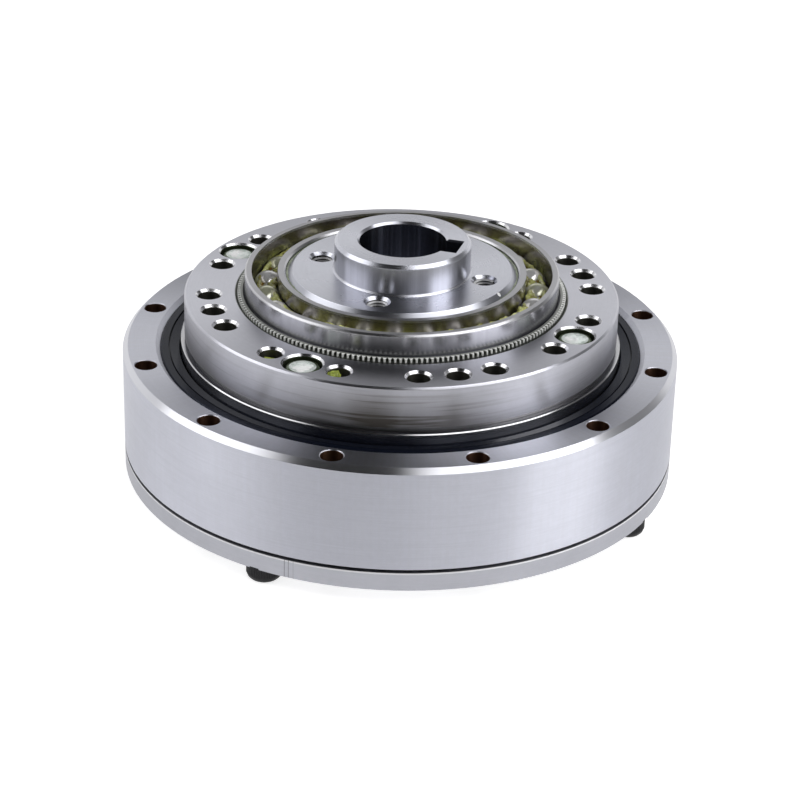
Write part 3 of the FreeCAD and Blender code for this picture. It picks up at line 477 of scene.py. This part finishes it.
speckledFinishes = {
    "ballSteel": {"scale": 600.0, "detail": 3.0, "dark": (0.82, 0.82, 0.84), "pale": (0.94, 0.94, 0.94),
                  "gloss": (0.10, 0.24), "metal": 0.45},
    "threadSteel": {"scale": 700.0, "detail": 3.0, "dark": (0.688, 0.688, 0.6966), "pale": (0.80, 0.80, 0.81),
                    "gloss": (0.245, 0.525), "metal": 0.6},    # pale with dried oil
    "pinSteel": {"scale": 700.0, "detail": 3.0, "dark": (0.473, 0.473, 0.4816), "pale": (0.55, 0.55, 0.56),
                 "gloss": (0.175, 0.375), "metal": 1.0},
    "zincPlate": {"scale": 900.0, "detail": 5.0, "rough": 0.65, "tone": (0.42, 0.58),
                  "dark": (0.55, 0.63, 0.58), "pale": (0.86, 0.90, 0.88),
                  "gloss": (0.5, 0.3), "metal": 0.35, "bump": (0.2, 0.05)},
    "sealRubber": {"scale": 2600.0, "detail": 3.0, "dark": (0.002, 0.003, 0.008),
                   "pale": (0.005, 0.007, 0.014), "bump": (0.03, 0.02)},
    "cageResin": {"scale": 500.0, "detail": 4.0, "dark": (0.26, 0.14, 0.035), "pale": (0.48, 0.31, 0.09),
                  "gloss": (0.2, 0.35)},
    "screwOxide": {"scale": 1500.0, "detail": 4.0, "dark": (0.006, 0.006, 0.007),
                   "pale": (0.016, 0.016, 0.019), "gloss": (0.32, 0.48), "metal": 0.3},
}
glossTone = (0.3, 0.7)    # range of the noise that the gloss follows


def speckled(name, finish):
    material, tree, shader = newTree(name)
    place = lathePlace(tree)
    specks = noiseAt(tree, place["point"], finish["scale"], finish["detail"], finish.get("rough", 0.5))
    tone = spread(tree, specks, finish["tone"], (0.0, 1.0)) if "tone" in finish else specks
    colour = mixColour(tree, tone, finish["dark"] + (1.0,), finish["pale"] + (1.0,))
    plug(tree, colour, shader.inputs["Base Color"])
    if "gloss" in finish:
        plug(tree, spread(tree, specks, glossTone, finish["gloss"]), shader.inputs["Roughness"])
    shader.inputs["Metallic"].default_value = finish.get("metal", 0.0)
    if "bump" in finish:
        bumpUp(tree, shader, specks, *finish["bump"])
    return material, tree, shader, place


def plainFinish(name):
    return speckled(name, speckledFinishes[name])[0]


# the tan tint is a painted reflection of the amber cage on the lower half of the balls
ballFilm = {"cageReflectionHeight": (27.8, 29.4), "tan": (0.70, 0.58, 0.38), "scale": 240.0, "detail": 3.0,
            "tone": (0.45, 0.60), "most": 0.7, "coat": {"colour": (0.58, 0.60, 0.34), "rough": 0.2}}


def ballFinish():    # polished under a film of grease, with a painted reflection of the amber cage, tan on the lower half
    material, tree, shader, place = speckled("ballSteel", speckledFinishes["ballSteel"])
    bright = shader.inputs["Base Color"].links[0].from_socket
    # painted reflection: the lower half is tinted tan like the amber cage
    low = fall(tree, place["z"], ballFilm["cageReflectionHeight"])
    plug(tree, mixColour(tree, low, bright, ballFilm["tan"] + (1.0,)), shader.inputs["Base Color"])
    film = noiseAt(tree, place["point"], ballFilm["scale"], ballFilm["detail"])
    layOver(tree, shader, spread(tree, film, ballFilm["tone"], (0.0, ballFilm["most"])), ballFilm["coat"])
    return material


zincRim = {"hole": {"circle": 31, "step": 90, "start": 45, "size": 2.1},
           "coat": {"colour": (0.10, 0.13, 0.08), "rough": 0.15, "metal": 0.5}}


def zincFinish():    # pale plating with grey-green bloom, wet with oil round the edge
    material, tree, shader, place = speckled("zincPlate", speckledFinishes["zincPlate"])
    rim = calc(tree, "SUBTRACT", 1.0, holeMask(tree, place, **zincRim["hole"]))
    layOver(tree, shader, rim, zincRim["coat"])
    return material


sealMould = {"lines": 0.3, "streak": 4.0, "gloss": (0.15, 0.25), "specular": 0.13,
             "tint": (0.50, 0.62, 1.0, 1)}


def mouldedRubber():
    material, tree, shader, place = speckled("sealRubber", speckledFinishes["sealRubber"])
    lines = latheLines(tree, place, sealMould["lines"], sealMould["streak"])
    plug(tree, spread(tree, lines, glossTone, sealMould["gloss"]), shader.inputs["Roughness"])
    shader.inputs["Specular IOR Level"].default_value = sealMould["specular"]
    shader.inputs["Specular Tint"].default_value = sealMould["tint"]
    return material


resinGlow = {"weight": 0.15, "reach": (0.4, 0.2, 0.06)}


def amberResin():
    material, _, shader, _ = speckled("cageResin", speckledFinishes["cageResin"])
    shader.inputs["Subsurface Weight"].default_value = resinGlow["weight"]
    shader.inputs["Subsurface Radius"].default_value = inMm(resinGlow["reach"])
    return material


greases = {
    "bearingGrease": {"dark": (0.26, 0.24, 0.06), "pale": (0.80, 0.84, 0.30), "clear": 0.1},
    "holeGrease": {"dark": (0.24, 0.30, 0.05), "pale": (0.52, 0.60, 0.12), "clear": 0.1},
    "socketPaste": {"dark": (0.84, 0.92, 0.88), "pale": (1.0, 1.0, 1.0), "clear": 0.0},
    "retainingCompound": {"dark": (0.20, 0.24, 0.15), "pale": (0.34, 0.40, 0.26), "clear": 0.2},
}
greaseLook = {"scale": 420.0, "detail": 4.0, "rough": 0.6, "tone": (0.40, 0.60), "gloss": (0.08, 0.22),
              "bump": (0.3, 0.1), "bend": 1.45}


def wetGrease(name):
    material, _, shader, _ = speckled(name, dict(greaseLook, **greases[name]))
    shader.inputs["Transmission Weight"].default_value = greases[name]["clear"]
    shader.inputs["IOR"].default_value = greaseLook["bend"]
    return material


raceSteel = raceFinish()
ballSteel = ballFinish()
threadSteel = plainFinish("threadSteel")
pinSteel = plainFinish("pinSteel")
zincPlate = zincFinish()
rubber = mouldedRubber()
resin = amberResin()
oxide = plainFinish("screwOxide")
grease = wetGrease("bearingGrease")
oldGrease = wetGrease("holeGrease")
paste = wetGrease("socketPaste")
compound = wetGrease("retainingCompound")
ringSteel = outerRingFinish()
finishOf = {
    "bearing_outer_ring": ringSteel, "roller_loading_plug": ringSteel,
    "bearing_inner_ring": shoulderFinish(), "flexspline": hatFinish(),
    "circular_spline": splineFinish(), "wave_plug": plugFinish(),
    "wave_bearing_inner_race": raceSteel, "wave_bearing_outer_race": raceSteel,
    "bearing_balls": ballSteel, "cross_rollers_a": pinSteel, "cross_rollers_b": pinSteel,
    "loading_plug_pin": pinSteel, "seal_case": pinSteel, "seal_garter_spring": pinSteel,
    "spline_screws": zincPlate, "oil_seal": rubber, "brim_o_ring": rubber,
    "ball_cage": resin, "roller_spacers": resin, "brim_screws": oxide,
}
for nodeName, made in finishOf.items():
    nodes[nodeName].data.materials[0] = made
print("finishes on", len(finishOf), "nodes")


# modelling helpers

def startPiece(name, adder, **settings):    # a fresh primitive, alone in the selection, in edit mode
    bpy.ops.object.select_all(action="DESELECT")
    adder(**settings)
    piece = bpy.context.object
    piece.name = name
    piece.data.name = name
    bpy.ops.object.transform_apply(location=True, rotation=True, scale=True)
    bpy.ops.object.mode_set(mode="EDIT")
    bpy.ops.mesh.select_all(action="SELECT")
    return piece


def pick(piece, mode, test):    # select faces, or edges by their middle
    bpy.ops.mesh.select_mode(type=mode)
    bpy.ops.mesh.select_all(action="DESELECT")
    bpy.ops.object.mode_set(mode="OBJECT")
    mesh = piece.data
    if mode == "FACE":
        for face in mesh.polygons:
            face.select = test(face)
    else:
        for edge in mesh.edges:
            first, second = (mesh.vertices[number].co for number in edge.vertices)
            edge.select = test((first + second) / 2)
    bpy.ops.object.mode_set(mode="EDIT")


def endPiece(piece, material, body, smooth=None):    # smooth all over, or only up to an angle in degrees
    bpy.ops.mesh.select_mode(type="FACE")
    bpy.ops.mesh.select_all(action="SELECT")
    bpy.ops.mesh.remove_doubles(threshold=tiny)
    bpy.ops.mesh.normals_make_consistent(inside=False)
    bpy.ops.object.mode_set(mode="OBJECT")
    if smooth is None:
        bpy.ops.object.shade_smooth()
    else:
        bpy.ops.object.shade_smooth_by_angle(angle=math.radians(smooth))
    piece.data.materials.clear()
    piece.data.materials.append(material)
    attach(piece, body)


def ringCopies(count):    # all of the piece is repeated round the axis
    bpy.ops.mesh.select_all(action="SELECT")
    sweep = 2 * math.pi * (count - 1) / count
    bpy.ops.mesh.spin(steps=count - 1, dupli=True, angle=sweep, center=(0, 0, 0), axis=(0, 0, 1))


def carryTo(circle, degrees, height):
    turn = math.radians(degrees)
    bpy.ops.mesh.select_all(action="SELECT")
    away = circle * mm
    bpy.ops.transform.translate(value=(away * math.cos(turn), away * math.sin(turn), height * mm))


def turnRound(angle, axis="Z"):    # what is selected turns about the origin
    bpy.ops.transform.rotate(value=angle, orient_axis=axis, center_override=(0, 0, 0))


def squash(*factors):    # what is selected is scaled about the origin
    bpy.ops.transform.resize(value=factors, center_override=(0, 0, 0))


def useModifier(piece, kind, **settings):
    bpy.ops.object.mode_set(mode="OBJECT")
    modifier = piece.modifiers.new(kind, kind)
    for key, value in settings.items():
        setattr(modifier, key, value)
    bpy.ops.object.modifier_apply(modifier=modifier.name)
    bpy.ops.object.mode_set(mode="EDIT")


def lumpUp(piece, values):    # uneven surface from a cloud pattern
    texture = bpy.data.textures.new(piece.name + "Lumps", "CLOUDS")
    texture.noise_scale = values["lump"] * mm
    texture.noise_depth = values["depth"]
    useModifier(piece, "DISPLACE", texture=texture, texture_coords="LOCAL",
                strength=values["rough"] * mm, mid_level=values["level"])


# the balls of the wave bearing

ballSet = {"count": 23, "radius": 2.4, "circle": 21.85, "height": 28.5, "cuts": 9}


def bearingBalls():    # a cube pulled out to an even ball, then carried round
    size = ballSet["radius"] * mm
    piece = startPiece("bearingBalls", bpy.ops.mesh.primitive_cube_add, size=2 * size / math.sqrt(3))
    bpy.ops.mesh.subdivide(number_cuts=ballSet["cuts"])
    bpy.ops.transform.tosphere(value=1.0)
    bpy.ops.object.mode_set(mode="OBJECT")
    reach = max(vertex.co.length for vertex in piece.data.vertices)
    bpy.ops.object.mode_set(mode="EDIT")
    bpy.ops.mesh.select_all(action="SELECT")
    bpy.ops.transform.resize(value=(size / reach,) * 3)
    carryTo(ballSet["circle"], 0, ballSet["height"])
    ringCopies(ballSet["count"])
    endPiece(piece, ballSteel, "ball_set")
    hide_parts("bearing_balls")


# knurled cap screws with hexagon sockets

capScrew = {"count": 4, "start": 45, "head": 2.75, "height": 3.0, "across": 2.5, "socket": 1.4, "shank": 1.5,
            "length": 8.0, "tip": 0.3, "tipShare": 0.82, "sides": 96, "bow": 30, "knurlInset": 0.03,
            "knurlDepth": 0.07, "smooth": 32}
brimScrew = dict(capScrew, name="brimCapScrews", node="brim_screws", slot="black_screw", body="housing",
                 circle=42, seat=0.2, pointsUp=True, round=1.0)
splineScrew = dict(capScrew, name="splineCapScrews", node="spline_screws", slot="zinc_screw", body="output",
                   circle=31, seat=25.5, pointsUp=False, round=0.5)


def onHexagon(spot, across):    # true on the outline of the socket
    turn = math.atan2(spot.y, spot.x) % (math.pi / 3) - math.pi / 6
    return abs(spot.xy.length * math.cos(turn) - across / 2) < 0.01 * mm


def pullRim(drop, grow):    # the rim that is selected is drawn on, down and wider or narrower
    bpy.ops.mesh.extrude_edges_move(TRANSFORM_OT_translate={"value": (0, 0, drop)})
    squash(grow, grow, 1)


def capScrews(screw, material):    # built with its seat on the origin and its socket up, then placed
    sides = screw["sides"]
    head, high, soft, across = (screw[key] * mm for key in ("head", "height", "round", "across"))
    piece = startPiece(screw["name"], bpy.ops.mesh.primitive_circle_add, vertices=6,
                       radius=across / math.sqrt(3), location=(0, 0, high))
    bpy.ops.mesh.subdivide(number_cuts=sides // 6 - 1)    # the hexagon gets as many points as the rim
    bpy.ops.mesh.primitive_circle_add(vertices=sides, radius=head - soft, location=(0, 0, high))
    bpy.ops.mesh.select_all(action="SELECT")
    bpy.ops.mesh.bridge_edge_loops()
    pick(piece, "EDGE", lambda middle: middle.xy.length > (head - soft) * 0.998)
    radius = head - soft
    step = screw["bow"]
    for bow in range(step, 91, step):    # rounded shoulder of the head, in degrees
        wider = head - soft + soft * math.sin(math.radians(bow))
        drop = soft * (math.cos(math.radians(bow)) - math.cos(math.radians(bow - step)))
        pullRim(drop, wider / radius)
        radius = wider
    pullRim(soft - high, 1)
    pullRim(0, screw["shank"] / screw["head"])
    pullRim((screw["tip"] - screw["length"]) * mm, 1)
    pullRim(-screw["tip"] * mm, screw["tipShare"])
    bpy.ops.mesh.edge_face_add()
    pick(piece, "EDGE", lambda middle: middle.z > high - tiny and onHexagon(middle, across))
    bpy.ops.mesh.extrude_edges_move(TRANSFORM_OT_translate={"value": (0, 0, -screw["socket"] * mm)})
    bpy.ops.mesh.edge_face_add()
    facet = 2 * math.pi / sides
    pick(piece, "FACE", lambda face: abs(face.normal.z) < 0.1 and face.center.xy.length > head * 0.98
         and math.floor(math.atan2(face.center.y, face.center.x) / facet) % 2 == 0)    # every second facet
    bpy.ops.mesh.inset(thickness=screw["knurlInset"] * mm, depth=-screw["knurlDepth"] * mm,
                       use_individual=True)
    bpy.ops.mesh.select_all(action="SELECT")
    if screw["pointsUp"]:
        turnRound(math.pi, "X")
    carryTo(screw["circle"], screw["start"], screw["seat"])
    ringCopies(screw["count"])
    endPiece(piece, material, screw["body"], screw["smooth"])
    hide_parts(screw["node"])


# threads of the four tapped holes in the plug

plugThread = {"count": 4, "pitch": 0.5, "turns": 15, "drill": 1.65, "ridge": 0.22, "bite": 0.02, "top": 32.62,
              "circle": 13.6, "start": -32.8, "steps": 28, "smooth": 40}


def plugThreads():    # a three-cornered ridge wound down each hole
    ridge = plugThread["ridge"] * mm
    piece = startPiece("plugThreads", bpy.ops.mesh.primitive_circle_add, vertices=3, radius=ridge,
                       rotation=(math.pi / 2, 0, 0))
    turnRound(math.pi / 2, "Y")
    bpy.ops.object.mode_set(mode="OBJECT")
    reach = max(piece.data.vertices, key=lambda vertex: abs(vertex.co.x)).co.x
    bpy.ops.object.mode_set(mode="EDIT")
    bpy.ops.mesh.select_all(action="SELECT")
    if reach > 0:    # the sharp corner points to the hole's axis
        squash(-1, 1, 1)
    bpy.ops.transform.translate(value=(plugThread["drill"] * mm - ridge / 2 + plugThread["bite"] * mm, 0, 0))
    useModifier(piece, "SCREW", axis="Z", screw_offset=-plugThread["pitch"] * mm,
                iterations=plugThread["turns"], steps=plugThread["steps"], render_steps=plugThread["steps"])
    carryTo(plugThread["circle"], plugThread["start"], plugThread["top"])
    ringCopies(plugThread["count"])
    endPiece(piece, threadSteel, "wave_generator", plugThread["smooth"])


# grease round the balls and on the cage and race, compound beside the plug, paste and dabs in the output

greaseRings = {
    "bearingGrease": {"circle": 21.85, "thick": 1.4, "height": 28.3, "flat": 0.8,
                      "lump": 1.1, "depth": 3, "rough": 1.6, "level": 0.55},
    "innerGrease": {"circle": 20.64, "thick": 0.38, "height": 29.95, "flat": 1.1,
                    "lump": 0.8, "depth": 3, "rough": 0.6, "level": 0.5},
    "outerGrease": {"circle": 22.95, "thick": 0.38, "height": 29.95, "flat": 1.1,
                    "lump": 0.8, "depth": 3, "rough": 0.6, "level": 0.5},
}
greaseMesh = {"around": 276, "across": 24, "dabCuts": 4}


def bearingGrease(name):    # a ring round the balls, and a bead along each edge of the cage
    ring = greaseRings[name]
    piece = startPiece(name, bpy.ops.mesh.primitive_torus_add, major_radius=ring["circle"] * mm,
                       minor_radius=ring["thick"] * mm, major_segments=greaseMesh["around"],
                       minor_segments=greaseMesh["across"])
    squash(1, 1, ring["flat"])
    carryTo(0, 0, ring["height"])
    lumpUp(piece, ring)
    endPiece(piece, grease, "ball_set")


def startDab(name, dab):    # a small ball, squashed and carried to its place
    piece = startPiece(name, bpy.ops.mesh.primitive_ico_sphere_add, radius=mm,
                       subdivisions=greaseMesh["dabCuts"])
    bpy.ops.transform.resize(value=dab["size"])
    carryTo(dab["circle"], dab.get("turn", 0), dab["height"])
    return piece


cageDabs = {"count": 23, "size": (0.8, 1.15, 0.6), "circle": 20.9, "start": 7.5, "height": 29.75,
            "lump": 1.3, "depth": 3, "rough": 1.5, "level": 0.5}


def cageGrease():    # lumps on the cage beside the balls, no two alike
    piece = startDab("cageGrease", cageDabs)
    turnRound(-math.radians(cageDabs["start"]))
    ringCopies(cageDabs["count"])
    lumpUp(piece, cageDabs)
    endPiece(piece, grease, "ball_set")


rimDabs = {"size": (0.35, 1.1, 0.35), "circle": 23.55, "height": 32.65,
           "turns": (-134, -128, -119, -88, -82, -76, -70, -64, -58, -52),
           "lump": 0.7, "depth": 2, "rough": 0.6, "level": 0.6}


def rimGrease():    # smears near the top of the outer race
    piece = startDab("rimGrease", rimDabs)
    reached = 0
    for turn in rimDabs["turns"]:
        if reached:
            bpy.ops.mesh.duplicate()
        turnRound(math.radians(reached - turn))
        reached = turn
    lumpUp(piece, rimDabs)
    endPiece(piece, grease, "wave_generator")


compoundBead = {"groove": 18.25, "thick": 0.28, "flat": 0.8, "height": 32.32, "wave": 0.26,
                "around": 240, "across": 12, "lump": 1.2, "depth": 2, "rough": 0.3, "level": 0.5}


def retainingCompound():    # an oval bead in the groove round the plug
    mean = compoundBead["groove"]
    piece = startPiece("retainingCompound", bpy.ops.mesh.primitive_torus_add, major_radius=mean * mm,
                       minor_radius=compoundBead["thick"] * mm, major_segments=compoundBead["around"],
                       minor_segments=compoundBead["across"])
    stretch = compoundBead["wave"] / mean
    squash(1 + stretch, 1 - stretch, compoundBead["flat"])
    carryTo(0, 0, compoundBead["height"])
    lumpUp(piece, compoundBead)
    endPiece(piece, compound, "wave_generator")


pasteDab = {"count": 4, "size": (1.75, 1.75, 0.26), "circle": 31, "turn": 45, "height": 28.42,
            "lump": 0.9, "depth": 2, "rough": 0.6, "level": 0.5}


def socketPaste():    # pale paste over the sockets of the output screws
    piece = startDab("socketPaste", pasteDab)
    lumpUp(piece, pasteDab)
    ringCopies(pasteDab["count"])
    endPiece(piece, paste, "output")


greaseDabs = {
    "holeGreaseFront": {"turn": 234.6, "circle": 30.9, "height": 27.9, "size": (1.3, 1.2, 0.9),
                        "lump": 0.7, "depth": 2, "rough": 0.9, "level": 0.55},
    "holeGreaseLeft": {"turn": 213.4, "circle": 31.2, "height": 27.3, "size": (1.2, 1.1, 0.8),
                       "lump": 0.7, "depth": 2, "rough": 0.9, "level": 0.55},
}


def holeGrease(name):    # a dab in one of the output holes
    piece = startDab(name, greaseDabs[name])
    lumpUp(piece, greaseDabs[name])
    endPiece(piece, oldGrease, "output")


bearingBalls()
capScrews(brimScrew, oxide)
capScrews(splineScrew, zincPlate)
plugThreads()
print("balls, screws and threads made")
for ringName in greaseRings:
    bearingGrease(ringName)
cageGrease()
rimGrease()
retainingCompound()
socketPaste()
for dabName in greaseDabs:
    holeGrease(dabName)
print("grease and compound made")


# studio: pale floor, soft boxes overhead at both sides, bright surround near the horizon

studio = {"floorSize": 4.0, "floorGlow": 0.80, "mirrorGlow": 0.55, "floorColour": 0.60,
          "horizon": 0.95, "ceiling": 0.03, "fade": (0.42, 0.66),
          "front": (-0.286, -0.958), "frontFade": (0.2, 0.75), "frontShade": 0.08,    # dim behind the camera
          "dimSide": (0.881, 0.178, 0.438), "sideFade": (0.927, 0.978), "sideShade": 0.2,    # a dark stand
          "lampReach": 0.8, "lampAim": (0, 0, 0.02)}
softBoxes = {    # azimuth from the camera to its right, height angle, half widths in degrees
    "leftBox": {"side": -86, "rise": 41, "wide": 23, "high": 14, "light": 2.1},
    "rightBox": {"side": 68, "rise": 24, "wide": 18, "high": 16, "light": 2.8},
    "overBox": {"side": 56, "rise": 55, "wide": 28, "high": 13, "light": 2.9},
}


def seenRays(tree):
    path = tree.nodes.new("ShaderNodeLightPath")
    mirror = calc(tree, "MAXIMUM", path.outputs["Is Glossy Ray"], path.outputs["Is Transmission Ray"])
    return path.outputs["Is Camera Ray"], mirror


def paleFloor():
    bpy.ops.object.select_all(action="DESELECT")
    bpy.ops.mesh.primitive_plane_add(size=studio["floorSize"], location=(0, 0, floorHeight))
    floor = bpy.context.object
    floor.name = "paleFloor"
    material = bpy.data.materials.new("paleFloor")
    material.use_nodes = True
    tree = material.node_tree
    tree.nodes.clear()
    output = tree.nodes.new("ShaderNodeOutputMaterial")
    matt = tree.nodes.new("ShaderNodeBsdfDiffuse")
    shade = studio["floorColour"]
    matt.inputs["Color"].default_value = (shade, shade, shade, 1)
    glow = tree.nodes.new("ShaderNodeEmission")
    seen, mirror = seenRays(tree)
    strength = calc(tree, "ADD", times(tree, seen, studio["floorGlow"]),
                    times(tree, mirror, studio["mirrorGlow"]))
    plug(tree, strength, glow.inputs["Strength"])
    both = tree.nodes.new("ShaderNodeAddShader")
    tree.links.new(matt.outputs[0], both.inputs[0])
    tree.links.new(glow.outputs[0], both.inputs[1])
    tree.links.new(both.outputs[0], output.inputs["Surface"])
    floor.data.materials.append(material)


def paleSurround():
    world = bpy.data.worlds.new("paleSurround")
    world.use_nodes = True
    tree = world.node_tree
    tree.nodes.clear()
    output = tree.nodes.new("ShaderNodeOutputWorld")
    back = tree.nodes.new("ShaderNodeBackground")
    back.inputs["Color"].default_value = (1, 1, 1, 1)
    coords = tree.nodes.new("ShaderNodeTexCoord")
    split = tree.nodes.new("ShaderNodeSeparateXYZ")
    tree.links.new(coords.outputs["Generated"], split.inputs[0])
    x, y, z = split.outputs
    glow = spread(tree, z, studio["fade"], (studio["horizon"], studio["ceiling"]))
    towards = calc(tree, "ADD", times(tree, x, studio["front"][0]), times(tree, y, studio["front"][1]))
    glow = times(tree, glow, spread(tree, towards, studio["frontFade"], (1.0, studio["frontShade"])))
    aside = times(tree, x, studio["dimSide"][0])
    aside = calc(tree, "MULTIPLY_ADD", y, studio["dimSide"][1], aside)
    aside = calc(tree, "MULTIPLY_ADD", z, studio["dimSide"][2], aside)
    glow = times(tree, glow, spread(tree, aside, studio["sideFade"], (1.0, studio["sideShade"])))
    seen = seenRays(tree)[0]
    missing = calc(tree, "SUBTRACT", 1.0, glow)    # white where it is seen directly
    plug(tree, calc(tree, "MULTIPLY_ADD", seen, missing, glow), back.inputs["Strength"])
    tree.links.new(back.outputs[0], output.inputs["Surface"])
    bpy.context.scene.world = world


def softBox(name):
    values = softBoxes[name]
    reach = studio["lampReach"]
    turn = math.atan2(studio["front"][1], studio["front"][0]) + math.radians(values["side"])
    lift = math.radians(values["rise"])
    ray = Vector((math.cos(turn) * math.cos(lift), math.sin(turn) * math.cos(lift), math.sin(lift)))
    place = reach * ray
    bpy.ops.object.light_add(type="AREA", location=place)
    lamp = bpy.context.object
    lamp.name = name
    lamp.data.shape = "RECTANGLE"
    lamp.data.size = 2 * reach * math.tan(math.radians(values["wide"]))
    lamp.data.size_y = 2 * reach * math.tan(math.radians(values["high"]))
    lamp.data.energy = values["light"] * math.pi * lamp.data.size * lamp.data.size_y
    lamp.rotation_euler = (Vector(studio["lampAim"]) - place).to_track_quat("-Z", "Y").to_euler()


paleFloor()
paleSurround()
for boxName in softBoxes:
    softBox(boxName)

cameraFit = {
    "place": (-0.10799, -0.36292, 0.20022),
    "ahead": (0.25515, 0.85591, -0.44979),
    "roll": 1.526,
    "lens": 115.82,
    "nearest": 0.01,
}


def photoCamera():
    ahead = Vector(cameraFit["ahead"]).normalized()
    level = ahead.cross(Vector((0, 0, 1))).normalized()
    upright = level.cross(ahead)
    lean = math.radians(cameraFit["roll"])
    right = level * math.cos(lean) + upright * math.sin(lean)
    up = upright * math.cos(lean) - level * math.sin(lean)
    bpy.ops.object.camera_add(location=cameraFit["place"])
    camera = bpy.context.object
    camera.data.lens = cameraFit["lens"]
    camera.data.clip_start = cameraFit["nearest"]
    camera.rotation_euler = Matrix((right, up, -ahead)).transposed().to_euler()
    bpy.context.scene.camera = camera


photoCamera()
bpy.context.scene.view_settings.view_transform = "Standard"
print("studio and camera set")
